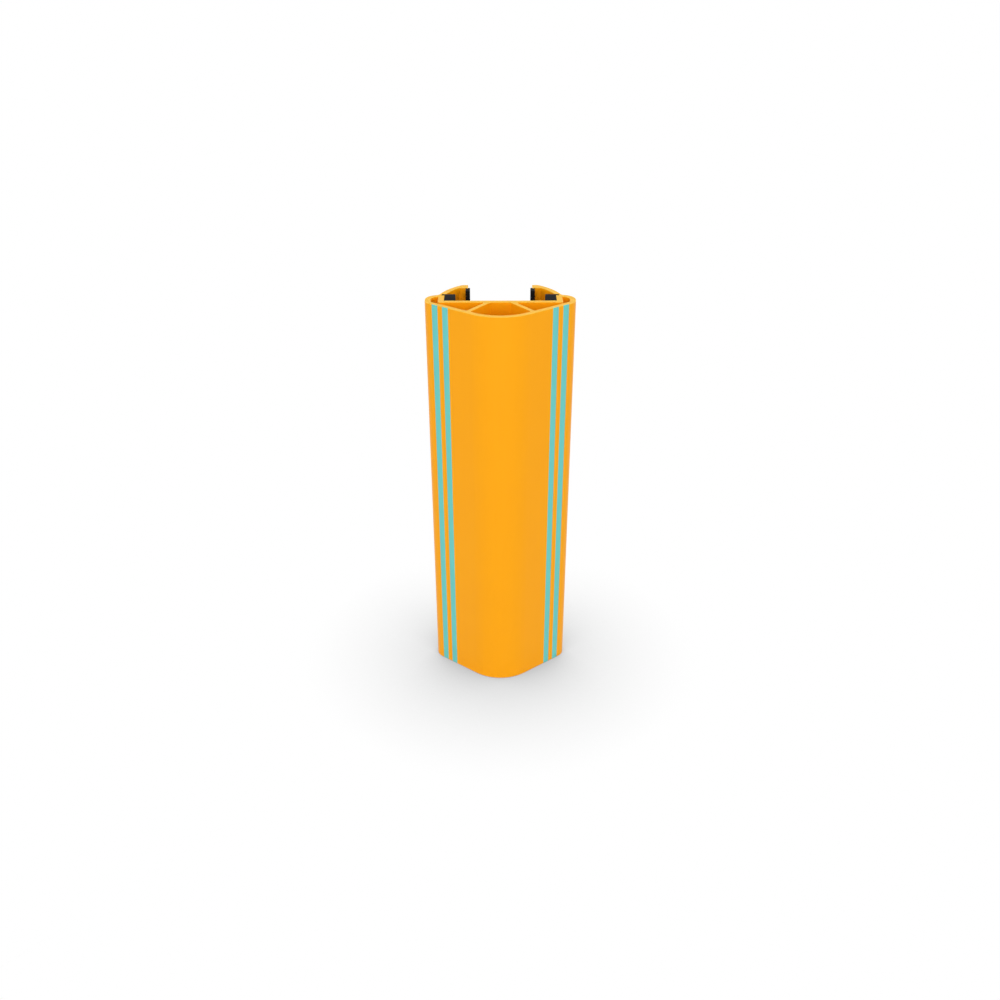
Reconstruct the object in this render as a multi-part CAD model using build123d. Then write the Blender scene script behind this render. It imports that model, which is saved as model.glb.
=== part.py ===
from build123d import *
from math import asin, atan2, cos, degrees, hypot, sin, tan
import os

# Rack upright protector: one extruded plastic guard that clips round the front of a rack upright,
# four rubber grips that slide into it from the end, and four coloured stripes let into its flanks.
# Millimetres. +Z is up along the extrusion, the nose faces -Y, the clip arms point to +Y, and the
# origin is the middle of the foot.

# Length of the extrusion
height = 600.0

# The upright that it holds
upright_gap = 124.0        # clear width between the front grips
upright_depth = 56.6       # from the seat back to the arm tips
tip_gap = 85.0             # clear width between the tip grips

# Plastic section
wall = 8.0                 # skin, back wall, lugs and arms
web = 6.0                  # diagonal webs behind the nose
nose_space = 54.0          # open depth between the nose and the back wall
side_gap = 10.0            # open width between each lug and the skin
nose_radius = 64.0
side_flat = 6.0            # straight side between the two arcs of a corner
web_rear_x = 14.5          # middle of a web on the back wall, off the symmetry plane
web_inset = 11.1           # middle of a web on the flank, past the end of the nose arc
cell_fillet = 2.0
root_fillet = 6.0          # hollow between a side corner and the arm
neck = 4.0                 # plastic left beside the tail of a front grip
tip_thickness = 13.4       # arm tip, from front to back
tip_setback = 3.0          # arm tip behind the face of its grip
tip_flat = 8.6             # rear face of an arm tip, before its outer edge is rounded
tip_radius = 10.0          # outer bend where the arm turns into its tip
tip_round = 1.0            # inner edge at the rear of an arm tip
rib_inset = 0.4            # rib that carries a tip grip, from the end of the arm tip
rib_width = 1.6            # at its root
rib_depth = 2.2
rib_hook = 1.2             # undercut of the rib
end_chamfer = 0.4          # broken edges of the sawn ends

# Rubber grips
grip_thickness = 15.0      # front grip, sideways
grip_depth = 28.4          # front grip, from the seat backwards
tail_width = 6.0           # tail of a front grip
tail_hook = 1.2            # undercut of the tail
root_lap = 3.9             # front grip's end behind the side corner
tip_grip_thickness = 6.0
tip_grip_depth = 15.6      # tip grip, from the arm tip forwards
grip_round = 1.5           # free edges of the grips
slide_clearance = 0.2      # grips in their slots and on their ribs

# Stripes
stripe_width = 10.0
stripe_gap = 8.0
stripe_inset = 4.0         # from the end of the straight flank
stripe_depth = 1.0
stripe_places = ("outer", "inner")

# Two points nearer than this are the same
tolerance = 0.001

# Places that follow from the sizes above
lug_inner = upright_gap / 2 + grip_thickness
lug_outer = lug_inner + wall
half_width = lug_outer + side_gap + wall
seat_depth = 2 * wall + nose_space
depth = seat_depth + upright_depth + tip_thickness
nose_y = -depth / 2
back_y = depth / 2
tip_y = back_y - tip_thickness
seat_y = nose_y + seat_depth
grip_y = seat_y + grip_depth
corner_y = grip_y - root_lap
tip_x = tip_gap / 2 + tip_setback
shoulder_x = tip_x + tip_flat

# The arms are arcs about one point of the symmetry plane, from the corner to the arm tip
arm_rise = back_y - corner_y
arm_centre_y = (back_y + corner_y) / 2 - (lug_outer ** 2 - shoulder_x ** 2) / (2 * arm_rise)
arm_radius = hypot(lug_outer, corner_y - arm_centre_y)

# The arcs of a side corner are centred on the outer face of its lug
corner_radius = side_gap + wall
corner_rear_y = corner_y - corner_radius
corner_front_y = corner_rear_y - side_flat

# The flank is the straight line that touches the nose arc and the front arc of the corner
nose_centre_y = nose_y + nose_radius
flank_run = hypot(lug_outer, corner_front_y - nose_centre_y)
flank_turn = asin((nose_radius - corner_radius) / flank_run)
flank_angle = atan2(corner_front_y - nose_centre_y, lug_outer) + flank_turn
flank_along = Vector(cos(flank_angle), sin(flank_angle))
flank_out = Vector(sin(flank_angle), -cos(flank_angle))
flank_start = Vector(0, nose_centre_y) + flank_out * nose_radius
flank_end = Vector(lug_outer, corner_front_y) + flank_out * corner_radius


def block(x_low, x_high, y_low, y_high):
    middle = Pos((x_low + x_high) / 2, (y_low + y_high) / 2)
    return middle * Rectangle(x_high - x_low, y_high - y_low)


def both_sides(section):
    return section + mirror(section, Plane.YZ)


def nearest_corner(section, x, y):
    return section.vertices().sort_by_distance((x, y, 0))[0]


# Nose, flanks and side corners, drawn as the lines that meet beyond each arc
def skin_outline():
    nose_meet = flank_end.Y - flank_end.X * tan(flank_angle)
    side_meet = flank_end.Y + (half_width - flank_end.X) * tan(flank_angle)
    corners = [
        (0, nose_meet),
        (half_width, side_meet),
        (half_width, corner_y),
        (-half_width, corner_y),
        (-half_width, side_meet),
    ]
    radii = [nose_radius] + 4 * [corner_radius]
    return make_face(FilletPolyline(*corners, radius=radii, close=True))


def web_section():
    rear = Vector(web_rear_x, seat_y - wall / 2)
    front = flank_start + flank_along * web_inset - flank_out * (wall / 2)
    run = front - rear
    middle = (front + rear) / 2
    turn = degrees(atan2(run.Y, run.X))
    return Pos(middle.X, middle.Y) * Rot(0, 0, turn) * Rectangle(run.length, web)


# The open cells between skin, webs and seat, rounded where a web meets the walls
def cell_sections():
    seat_box = block(-lug_outer, lug_outer, seat_y - wall, corner_y)
    seat_box = fillet(seat_box.vertices().sort_by(Axis.Y)[:2], cell_fillet)
    webs = both_sides(web_section())
    hollow = offset(skin_outline(), -wall) - seat_box - webs
    web_corners = [corner for corner in hollow.vertices() if webs.distance_to(corner) < tolerance]
    return fillet(web_corners, cell_fillet)


# Rib on the front of an arm tip: a half dovetail, hooked at its inner side
def rib_section():
    inner = tip_x + rib_inset
    outer = inner + rib_width
    front = tip_y - rib_depth
    return make_face(Polyline(
        (inner, tip_y),
        (inner - rib_hook, front),
        (outer, front),
        (outer, tip_y),
        close=True,
    ))


# Both clip arms: a ring that ends in thick tips, each with a rib that points back to the seat
def arm_sections():
    centre = Pos(0, arm_centre_y)
    outside = centre * Circle(arm_radius) & block(-arm_radius, arm_radius, corner_y - wall, back_y)
    outside = fillet(outside.vertices().sort_by(Axis.Y)[-2:], tip_radius)
    inside = centre * Circle(arm_radius - wall) & block(-arm_radius, arm_radius, seat_y, tip_y)
    mouth = block(-tip_x, tip_x, seat_y, back_y + wall)
    return outside - inside - mouth + both_sides(rib_section())


# Slot behind the lug: a half dovetail, hooked at its front side
def tail_section():
    bottom = lug_outer - neck
    front = grip_y - tail_width
    return make_face(Polyline(
        (lug_inner, grip_y),
        (bottom, grip_y),
        (bottom, front),
        (lug_inner, front + tail_hook),
        close=True,
    ))


def stripe_section(number):
    start = stripe_inset + number * (stripe_width + stripe_gap)
    middle = flank_end - flank_along * (start + stripe_width / 2) - flank_out * (stripe_depth / 2)
    turn = Rot(0, 0, degrees(flank_angle))
    return Pos(middle.X, middle.Y) * turn * Rectangle(stripe_width, stripe_depth)


def body_section():
    section = skin_outline() - cell_sections() + arm_sections()
    section -= block(-lug_inner, lug_inner, seat_y, grip_y)
    section -= both_sides(tail_section())
    roots = [nearest_corner(section, side * lug_outer, corner_y) for side in (-1, 1)]
    section = fillet(roots, root_fillet)
    tips = [nearest_corner(section, side * tip_x, back_y) for side in (-1, 1)]
    return fillet(tips, tip_round)


# A grip is its room beside the plastic less the clearance, and its bare face is on the gap's edge
def front_grip_section():
    face_x = upright_gap / 2 - slide_clearance
    room = block(face_x, lug_inner, seat_y, grip_y) + tail_section()
    grip = offset(room, -slide_clearance, kind=Kind.INTERSECTION)
    free = [nearest_corner(grip, face_x, y) for y in (seat_y, grip_y)]
    return fillet(free, grip_round)


# A tip grip is bare on three sides, and the rib of the arm tip fills a groove in the fourth
def tip_grip_section():
    face_x = tip_gap / 2 - slide_clearance
    outer_x = tip_gap / 2 + tip_grip_thickness + slide_clearance
    front_y = tip_y - tip_grip_depth - slide_clearance
    room = block(face_x, outer_x, front_y, tip_y) - rib_section()
    grip = offset(room, -slide_clearance, kind=Kind.INTERSECTION)
    bare = [(face_x, front_y), (face_x, tip_y), (outer_x, front_y)]
    return fillet([nearest_corner(grip, x, y) for x, y in bare], grip_round)


# The extrusion with its sawn ends, before the stripes are let in
def plain_body():
    body = extrude(body_section(), height)
    ends = body.faces().filter_by(Axis.Z)
    return chamfer(ends.edges(), end_chamfer)


def write(name, solid):
    solid.label = name
    export_step(solid, f"parts/{name}.step")


def write_pair(name, place, solid):
    write(f"{name}_right{place}", solid)
    write(f"{name}_left{place}", mirror(solid, Plane.YZ))


os.makedirs("parts", exist_ok=True)
body = plain_body()
for number, place in enumerate(stripe_places):
    stripe = body & extrude(stripe_section(number), height)
    body -= stripe
    body -= mirror(stripe, Plane.YZ)
    write_pair("stripe", f"_{place}", stripe)
write("protector_body", body)
write_pair("front_grip", "", extrude(front_grip_section(), height))
write_pair("tip_grip", "", extrude(tip_grip_section(), height))
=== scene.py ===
import bmesh
import bpy
from math import atan2, cos, pi, radians, sin
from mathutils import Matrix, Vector


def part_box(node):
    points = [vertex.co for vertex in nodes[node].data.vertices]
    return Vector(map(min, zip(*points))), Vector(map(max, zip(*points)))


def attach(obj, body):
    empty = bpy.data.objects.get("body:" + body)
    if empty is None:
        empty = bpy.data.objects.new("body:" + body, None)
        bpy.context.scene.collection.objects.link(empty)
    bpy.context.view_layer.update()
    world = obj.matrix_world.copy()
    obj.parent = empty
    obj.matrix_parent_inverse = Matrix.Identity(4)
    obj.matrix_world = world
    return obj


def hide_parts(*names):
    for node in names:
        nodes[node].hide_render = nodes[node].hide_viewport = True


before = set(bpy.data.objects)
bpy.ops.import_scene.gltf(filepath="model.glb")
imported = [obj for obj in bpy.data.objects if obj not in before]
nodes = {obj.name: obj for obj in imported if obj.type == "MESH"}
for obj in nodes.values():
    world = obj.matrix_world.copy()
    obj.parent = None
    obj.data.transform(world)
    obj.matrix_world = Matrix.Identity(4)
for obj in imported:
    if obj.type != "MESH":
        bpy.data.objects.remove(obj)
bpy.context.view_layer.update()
mm = 0.001
print("frame loaded:", len(nodes), "nodes")


# one output of a shader node, so that sums are written as plain expressions
class Wire:
    def __init__(self, recipe, socket):
        self.recipe = recipe
        self.socket = socket

    def maths(self, operation, *values):
        return self.recipe.node("Math", {"operation": operation}, dict(enumerate(values)))

    def __add__(self, other):
        return self.maths("ADD", self, other)

    def __sub__(self, other):
        return self.maths("SUBTRACT", self, other)

    def __rsub__(self, other):
        return self.maths("SUBTRACT", other, self)

    def __mul__(self, other):
        return self.maths("MULTIPLY", self, other)

    def __pow__(self, other):
        return self.maths("POWER", self, other)

    def __abs__(self):
        return self.maths("ABSOLUTE", self)

    def __gt__(self, other):
        return self.maths("GREATER_THAN", self, other)

    __radd__ = __add__
    __rmul__ = __mul__


half = 0.5                                             # the middle of a noise or a wave


# a node tree, and the one way to put a node into it
class Recipe:
    def __init__(self, tree):
        self.tree = tree
        self.tree.nodes.clear()

    def node(self, kind, settings=None, inputs=None, output=0):
        made = self.tree.nodes.new("ShaderNode" + kind)
        for key, value in (settings or {}).items():
            setattr(made, key, value)
        for key, value in (inputs or {}).items():
            if isinstance(value, Wire):
                self.tree.links.new(value.socket, made.inputs[key])
            else:
                made.inputs[key].default_value = value
        return Wire(self, made.outputs[output] if made.outputs else None)

    def place(self):                                   # where a point is on the part, in metres
        return self.node("TexCoord", output="Object")

    def stretched(self, place, scale):
        return self.node("VectorMath", {"operation": "MULTIPLY"}, {0: place, 1: scale})

    def noise(self, place, scale, detail=2.0):
        return self.node("TexNoise", None, {"Vector": place, "Scale": scale, "Detail": detail})

    def lines(self, place, run, scale, detail=2.0):    # noise that is drawn out upwards
        return self.noise(self.stretched(place, (1.0, 1.0, run)), scale, detail)

    def wave(self, angle):                             # from 0 to 1
        return half + half * self.node("Math", {"operation": "SINE"}, {0: angle})

    def blend(self, share, first, second):             # two colours
        return self.node("Mix", {"data_type": "RGBA"}, {0: share, 6: first, 7: second}, 2)

    def bump(self, height):                            # height in metres
        return self.node("Bump", None, {"Height": height, "Distance": 1.0, "Strength": 1.0})

    def shown(self):                                   # rays that see the white background itself
        path = self.node("LightPath").socket.node
        kinds = ("Camera", "Glossy", "Transmission")
        seen, glossy, through = [Wire(self, path.outputs[f"Is {kind} Ray"]) for kind in kinds]
        return seen.maths("MAXIMUM", seen.maths("MAXIMUM", seen, glossy), through)

    def surface(self, shader):
        self.node("OutputMaterial", None, {"Surface": shader})

    def finish(self, colour, roughness, specular, relief):
        self.surface(self.node("BsdfPrincipled", None, {
            "Base Color": colour,
            "Roughness": roughness,
            "Specular IOR Level": specular,
            "Normal": self.bump(relief),
        }))


def newRecipe(name):
    material = bpy.data.materials.new(name)
    material.use_nodes = True
    return material, Recipe(material.node_tree)


def paint(red, green, blue):                           # a screen colour, 0 to 255, as light
    share = [value / 255 for value in (red, green, blue)]
    light = [s / 12.92 if s <= 0.04045 else ((s + 0.055) / 1.055) ** 2.4 for s in share]
    return (*light, 1.0)


plasticLook = {
    "skin": paint(250, 163, 2),
    "skinPale": paint(254, 171, 6),
    # painted highlight: the sawn ends are paler than the skin, standing in for the light that falls on
    # the top ends; the two tones draw the saw marks
    "sawnHighlight": paint(249, 192, 54),
    "sawnHighlightDeep": paint(247, 182, 34),
    "cloud": 9.0,                                      # slow change of colour, per metre
    "roughness": 0.40,
    "roughDie": 0.25,                                  # how much the die lines change it
    "roughCut": 0.15,                                  # the sawn ends are rougher by this
    "specular": 0.18,
    "dieLine": 1.1 * mm,                               # width of the marks that the die leaves
    "dieRun": 0.006,                                   # they change this much slower upwards
    "dieDetail": 3.0,
    "dieDepth": 0.03 * mm,
    "peel": 2.4 * mm,                                  # faint orange peel
    "peelDepth": 0.02 * mm,
    "sawnTilt": 0.5,                                   # a face that looks this far up or down is sawn
    "sawPitch": 1.9 * mm,                              # arcs of the saw blade on the ends
    "sawCentre": (0.31, -0.42, 0.0),
    "sawWander": 2.2,                                  # radians
    "sawWanderScale": 40.0,
    "sawGrain": 260.0,                                 # breaks the arcs up, per metre
    "sawGrainDetail": 3.0,
    "sawDepth": 0.05 * mm,
}


def guardPlastic(look):
    material, mix = newRecipe("guardPlastic")
    place = mix.place()
    dieLines = mix.lines(place, look["dieRun"], 1 / look["dieLine"], look["dieDetail"])
    peel = mix.noise(place, 1 / look["peel"])
    cloud = mix.noise(place, look["cloud"])
    upright = mix.node("SeparateXYZ", None, {0: mix.node("NewGeometry", output="Normal")}, 2)
    sawn = abs(upright) > look["sawnTilt"]
    flatPlace = mix.stretched(place, (1.0, 1.0, 0.0))
    sweep = mix.node("VectorMath", {"operation": "DISTANCE"}, {0: flatPlace, 1: look["sawCentre"]}, 1)
    wander = mix.noise(place, look["sawWanderScale"]) * look["sawWander"]
    teeth = mix.wave(sweep * (2 * pi / look["sawPitch"]) + wander)
    sawMarks = teeth * mix.noise(flatPlace, look["sawGrain"], look["sawGrainDetail"])
    skin = mix.blend(half * cloud + half * dieLines, look["skin"], look["skinPale"])
    # painted highlight on the sawn ends, with the saw marks drawn into it
    sawnHighlight = mix.blend(sawMarks, look["sawnHighlight"], look["sawnHighlightDeep"])
    skinRelief = dieLines * look["dieDepth"] + peel * look["peelDepth"]
    mix.finish(
        colour=mix.blend(sawn, skin, sawnHighlight),
        roughness=look["roughness"] + look["roughDie"] * (dieLines - half) + look["roughCut"] * sawn,
        specular=look["specular"],
        relief=(1 - sawn) * skinRelief + sawn * sawMarks * look["sawDepth"],
    )
    return material


stripeLook = {
    "colour": paint(102, 197, 191),
    "colourPale": paint(114, 208, 202),
    "cloud": 14.0,                                     # slow change of colour, per metre
    "roughness": 0.38,
    "roughDie": 0.25,
    "specular": 0.18,
    "dieLine": 0.9 * mm,
    "dieRun": 0.006,
    "dieDetail": 3.0,
    "dieDepth": 0.02 * mm,
}


def stripePlastic(look):
    material, mix = newRecipe("stripePlastic")
    place = mix.place()
    dieLines = mix.lines(place, look["dieRun"], 1 / look["dieLine"], look["dieDetail"])
    cloud = mix.noise(place, look["cloud"])
    mix.finish(
        colour=mix.blend(half * cloud + half * dieLines, look["colour"], look["colourPale"]),
        roughness=look["roughness"] + look["roughDie"] * (dieLines - half),
        specular=look["specular"],
        relief=dieLines * look["dieDepth"],
    )
    return material


rubberLook = {
    "black": paint(7, 7, 8),
    "bloom": paint(22, 22, 23),                        # grey that old rubber sweats out
    "bloomScale": 70.0,                                # per metre
    "bloomRun": 0.2,
    "bloomDetail": 5.0,
    "bloomGain": 2.0,
    "roughness": 0.66,
    "roughBloom": 0.3,                                 # how much the bloom changes it
    "specular": 0.05,
    "grain": 0.5 * mm,
    "grainDetail": 3.0,
    "grainDepth": 0.06 * mm,
    "drawLine": 1.6 * mm,                              # marks along the strip
    "drawRun": 0.02,
    "drawDepth": 0.04 * mm,
}


def gripRubber(look):
    material, mix = newRecipe("gripRubber")
    place = mix.place()
    grain = mix.noise(place, 1 / look["grain"], look["grainDetail"])
    drawLines = mix.lines(place, look["drawRun"], 1 / look["drawLine"])
    bloom = mix.lines(place, look["bloomRun"], look["bloomScale"], look["bloomDetail"])
    mix.finish(
        colour=mix.blend(bloom * grain * look["bloomGain"], look["black"], look["bloom"]),
        roughness=look["roughness"] + look["roughBloom"] * (bloom - half),
        specular=look["specular"],
        relief=grain * look["grainDepth"] + drawLines * look["drawDepth"],
    )
    return material


guardMaterial = guardPlastic(plasticLook)
stripeMaterial = stripePlastic(stripeLook)
rubberMaterial = gripRubber(rubberLook)
print("materials mixed")


def dress(piece, material):
    piece.data.materials.clear()
    piece.data.materials.append(material)


dress(nodes["protector_body"], guardMaterial)
print("guard dressed")


near = 0.01 * mm                                       # closer than this is the same place
facing = 0.9                                           # a face looks along an axis from here on
cornerAngle = 0.5                                      # radians: less is no corner
flatAngle = radians(1)
smoothAngle = radians(35)
endSteps = 2                                           # of the rounded ends


def startBlock(name, centre, span, turn=0.0):
    bpy.ops.object.select_all(action="DESELECT")
    bpy.ops.mesh.primitive_cube_add(size=1, location=centre, rotation=(0, 0, turn), scale=span)
    bpy.ops.object.transform_apply(location=True, rotation=True, scale=True)
    piece = bpy.context.object
    piece.name = name
    piece.data.name = name
    bpy.ops.object.mode_set(mode="EDIT")
    return piece


def pickFaces(piece, wanted):
    bpy.ops.mesh.select_mode(type="FACE")
    bpy.ops.mesh.select_all(action="DESELECT")
    mesh = bmesh.from_edit_mesh(piece.data)
    for face in mesh.faces:
        face.select_set(wanted(face.calc_center_median(), face.normal))
    bmesh.update_edit_mesh(piece.data)


def pickEdges(piece, wanted):
    bpy.ops.mesh.select_mode(type="EDGE")
    bpy.ops.mesh.select_all(action="DESELECT")
    mesh = bmesh.from_edit_mesh(piece.data)
    for edge in mesh.edges:
        first, last = [corner.co for corner in edge.verts]
        edge.select_set(wanted((first + last) / 2, last - first, edge.calc_face_angle(0)))
    bmesh.update_edit_mesh(piece.data)


def cutAcross(place, across):
    bpy.ops.mesh.select_all(action="SELECT")
    bpy.ops.mesh.bisect(plane_co=place, plane_no=across)


def pullOut(step):
    bpy.ops.mesh.extrude_region_move(TRANSFORM_OT_translate={"value": step})


def mergeFlats():                                      # drops the cut lines that lie in flat faces
    bpy.ops.mesh.select_all(action="SELECT")
    bpy.ops.mesh.dissolve_limited(angle_limit=flatAngle)


def roundEnds(piece, low, high, size):
    pickEdges(piece, lambda middle, run, angle: (
        min(middle.z - low.z, high.z - middle.z) < near and abs(run.z) < near and angle > cornerAngle))
    bpy.ops.mesh.bevel(offset=size, segments=endSteps)


def finishPiece(piece, material):
    bpy.ops.object.mode_set(mode="OBJECT")
    bpy.ops.object.shade_smooth_by_angle(angle=smoothAngle)
    dress(piece, material)
    return piece


frontGrip = {
    "tailReach": 4.0 * mm,                             # tail beyond the side of the block
    "tailWidth": 4.33 * mm,                            # at its root
    "tailHook": 1.2 * mm,
    "edge": 1.5 * mm,
    "edgeSteps": 5,
    "end": 0.5 * mm,
}


def makeFrontGrip(name, node, size):
    low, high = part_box(node)
    side = high.x - size["tailReach"]
    tailY = high.y - size["tailWidth"]
    corner = Vector((side, high.y, high.z))
    piece = startBlock(name, (low + corner) / 2, corner - low)
    cutAcross((0, tailY, 0), (0, 1, 0))
    pickFaces(piece, lambda middle, normal: normal.x > facing and middle.y > tailY)
    pullOut((size["tailReach"], 0, 0))
    pickEdges(piece, lambda middle, run, angle: (
        middle.x > high.x - near and middle.y < tailY + near and abs(run.z) > near))
    bpy.ops.transform.translate(value=(0, -size["tailHook"], 0))
    mergeFlats()
    pickEdges(piece, lambda middle, run, angle: (
        middle.x < low.x + near and abs(run.z) > near and angle > cornerAngle))
    bpy.ops.mesh.bevel(offset=size["edge"], segments=size["edgeSteps"])
    roundEnds(piece, low, high, size["end"])
    return finishPiece(piece, rubberMaterial)


tipGrip = {
    "lipReach": 2.2 * mm,                              # two lips hold the rib of the arm tip
    "innerLip": 1.86 * mm,                             # at its root
    "innerHook": 1.2 * mm,
    "outerLip": 0.8 * mm,
    "edge": 1.5 * mm,
    "edgeSteps": 5,
    "end": 0.3 * mm,
}


def makeTipGrip(name, node, size):
    low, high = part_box(node)
    innerX = low.x + size["innerLip"]
    outerX = high.x - size["outerLip"]
    corner = Vector((high.x, high.y - size["lipReach"], high.z))
    piece = startBlock(name, (low + corner) / 2, corner - low)
    cutAcross((innerX, 0, 0), (1, 0, 0))
    cutAcross((outerX, 0, 0), (1, 0, 0))
    pickFaces(piece, lambda middle, normal: (
        normal.y > facing and not innerX < middle.x < outerX))
    pullOut((0, size["lipReach"], 0))
    pickEdges(piece, lambda middle, run, angle: (
        middle.y > high.y - near and abs(middle.x - innerX) < near and abs(run.z) > near))
    bpy.ops.transform.translate(value=(size["innerHook"], 0, 0))
    mergeFlats()
    pickEdges(piece, lambda middle, run, angle: (
        (middle.x < low.x + near or middle.y < low.y + near)
        and abs(run.z) > near and angle > cornerAngle))
    bpy.ops.mesh.bevel(offset=size["edge"], segments=size["edgeSteps"])
    roundEnds(piece, low, high, size["end"])
    return finishPiece(piece, rubberMaterial)


def twinOf(piece, name):                               # a copy with its own mesh, open for editing
    bpy.ops.object.select_all(action="DESELECT")
    twin = piece.copy()
    twin.data = piece.data.copy()
    twin.name = name
    twin.data.name = name
    bpy.context.collection.objects.link(twin)
    twin.select_set(True)
    bpy.context.view_layer.objects.active = twin
    bpy.ops.object.mode_set(mode="EDIT")
    bpy.ops.mesh.select_all(action="SELECT")
    return twin


def shifted(piece, name, step):
    twin = twinOf(piece, name)
    bpy.ops.transform.translate(value=step)
    bpy.ops.object.mode_set(mode="OBJECT")
    return twin


def mirrored(piece, name):
    twin = twinOf(piece, name)
    bpy.ops.transform.resize(value=(-1, 1, 1), center_override=(0, 0, 0))
    bpy.ops.mesh.normals_make_consistent(inside=False)
    bpy.ops.object.mode_set(mode="OBJECT")
    return twin


def fitGrip(piece, node):                              # a grip's body has its node's name
    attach(piece, node)
    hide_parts(node)


frontRight = makeFrontGrip("rubber_front_right", "front_grip_right", frontGrip)
tipRight = makeTipGrip("rubber_tip_right", "tip_grip_right", tipGrip)
frontLeft = mirrored(frontRight, "rubber_front_left")
tipLeft = mirrored(tipRight, "rubber_tip_left")
fitGrip(frontRight, "front_grip_right")
fitGrip(frontLeft, "front_grip_left")
fitGrip(tipRight, "tip_grip_right")
fitGrip(tipLeft, "tip_grip_left")
print("rubber grips modelled")


stripe = {
    "width": 10.0 * mm,
    "depth": 1.0 * mm,
    "joint": 0.3 * mm,                                 # rounded long edges, a hairline in the flank
    "jointSteps": 2,
    "end": 0.4 * mm,                                   # broken edge, as on the ends of the guard
    "endSteps": 1,
}


def middleOf(node):
    low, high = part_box(node)
    return (low + high) / 2


def makeStripe(name, node, flank, size):
    low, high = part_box(node)
    centre = middleOf(node)
    along = flank.normalized()
    outwards = Vector((along.y, -along.x, 0))
    span = (size["width"], size["depth"], high.z - low.z)
    piece = startBlock(name, centre, span, atan2(along.y, along.x))
    pickEdges(piece, lambda middle, run, angle: (
        (middle - centre).dot(outwards) > size["depth"] / 2 - near and abs(run.z) < near))
    bpy.ops.mesh.bevel(offset=size["end"], segments=size["endSteps"])
    pickEdges(piece, lambda middle, run, angle: (
        (middle - centre).dot(outwards) > near
        and abs((middle - centre).dot(along)) > size["width"] / 2 - near))
    bpy.ops.mesh.bevel(offset=size["joint"], segments=size["jointSteps"])
    return finishPiece(piece, stripeMaterial)


def fitStripe(piece, node):
    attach(piece, "guard")
    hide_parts(node)


# both right stripes lie on the straight flank, so the step between their middles runs along it
flankStep = middleOf("stripe_right_outer") - middleOf("stripe_right_inner")
outerRight = makeStripe("band_right_outer", "stripe_right_outer", flankStep, stripe)
outerLeft = mirrored(outerRight, "band_left_outer")
innerRight = shifted(outerRight, "band_right_inner", -flankStep)
innerLeft = mirrored(innerRight, "band_left_inner")
fitStripe(outerRight, "stripe_right_outer")
fitStripe(outerLeft, "stripe_left_outer")
fitStripe(innerRight, "stripe_right_inner")
fitStripe(innerLeft, "stripe_left_inner")
print("stripes let in")


studio = {
    "floorSize": 30.0,
    "floorDrop": 0.3 * mm,
    "floorWhite": (1.0, 1.0, 1.0, 1.0),
    # the shadow on the floor is painted: ambient occlusion darkens the white that the floor gives off
    "floorShade": (0.0, 0.0, 0.0, 1.0),
    "shadeReach": 0.23,                                # how far from the foot the floor is shaded
    "shadeSoft": 0.85,
    "shadeSamples": 16,
    "bounce": (0.65, 0.65, 0.65, 1.0),                 # light that the floor gives back
    "dome": 0.37,
    "target": Vector((0, 0, 0.3)),
    "lamps": {                                         # degrees round and up, metres, watts
        "keyRight": {"round": 65, "up": 22, "away": 11.5, "size": 5.1, "power": 252.0},
        "keyLeft": {"round": -65, "up": 22, "away": 11.5, "size": 5.1, "power": 252.0},
        "frontFill": {"round": 0, "up": 20, "away": 11.5, "size": 8.0, "power": 510.0},
        "topPanel": {"round": 0, "up": 62, "away": 9.6, "size": 6.4, "power": 155.0},
        "backRight": {"round": 140, "up": 12, "away": 11.5, "size": 5.1, "power": 300.0},
        "backLeft": {"round": -140, "up": 12, "away": 11.5, "size": 5.1, "power": 300.0},
        "backFill": {"round": 180, "up": 44, "away": 11.5, "size": 6.4, "power": 255.0},
    },
}


def makeFloor(room):
    bpy.ops.object.select_all(action="DESELECT")
    bpy.ops.mesh.primitive_plane_add(size=room["floorSize"], location=(0, 0, -room["floorDrop"]))
    floor = bpy.context.object
    floor.name = "floor"
    material, mix = newRecipe("paleFloor")
    samples = {"samples": room["shadeSamples"]}
    # painted shadow: ambient occlusion darkens the emission that the camera sees, in place of shadow
    # from the lamps
    clearance = mix.node("AmbientOcclusion", samples, {"Distance": room["shadeReach"]}, "AO")
    shade = mix.blend(clearance ** room["shadeSoft"], room["floorShade"], room["floorWhite"])
    seen = mix.node("Emission", None, {"Color": shade, "Strength": 1.0})
    lit = mix.node("BsdfDiffuse", None, {"Color": room["bounce"]})
    mix.surface(mix.node("MixShader", None, {0: mix.shown(), 1: lit, 2: seen}))
    dress(floor, material)


def makeLight(room):
    world = bpy.data.worlds.new("softDome")
    world.use_nodes = True
    bpy.context.scene.world = world
    mix = Recipe(world.node_tree)
    strength = room["dome"] + mix.shown() * (1 - room["dome"])
    sky = mix.node("Background", None, {"Color": (1, 1, 1, 1), "Strength": strength})
    mix.node("OutputWorld", None, {"Surface": sky})
    for name, lamp in room["lamps"].items():
        turn = radians(lamp["round"])
        rise = radians(lamp["up"])
        outwards = Vector((cos(rise) * sin(turn), -cos(rise) * cos(turn), sin(rise)))
        spot = room["target"] + outwards * lamp["away"]
        aim = outwards.to_track_quat("Z", "Y").to_euler()
        bpy.ops.object.light_add(type="AREA", location=spot, rotation=aim)
        panel = bpy.context.object
        panel.name = name
        panel.data.size = lamp["size"]
        panel.data.energy = lamp["power"]


view = {
    "lens": 35.0,
    "sensor": 36.0,
    "place": (-0.0055, -1.2829, 1.0174),
    "pitch": 29.62,                                    # degrees below level
    "yaw": -0.225,                                     # degrees, left is positive
}


def makeCamera(view):
    turn = (radians(90 - view["pitch"]), 0, radians(view["yaw"]))
    bpy.ops.object.camera_add(location=view["place"], rotation=turn)
    camera = bpy.context.object
    camera.data.lens = view["lens"]
    camera.data.sensor_width = view["sensor"]
    bpy.context.scene.camera = camera


makeFloor(studio)
makeLight(studio)
makeCamera(view)
bpy.context.scene.view_settings.view_transform = "Standard"
print("studio ready")
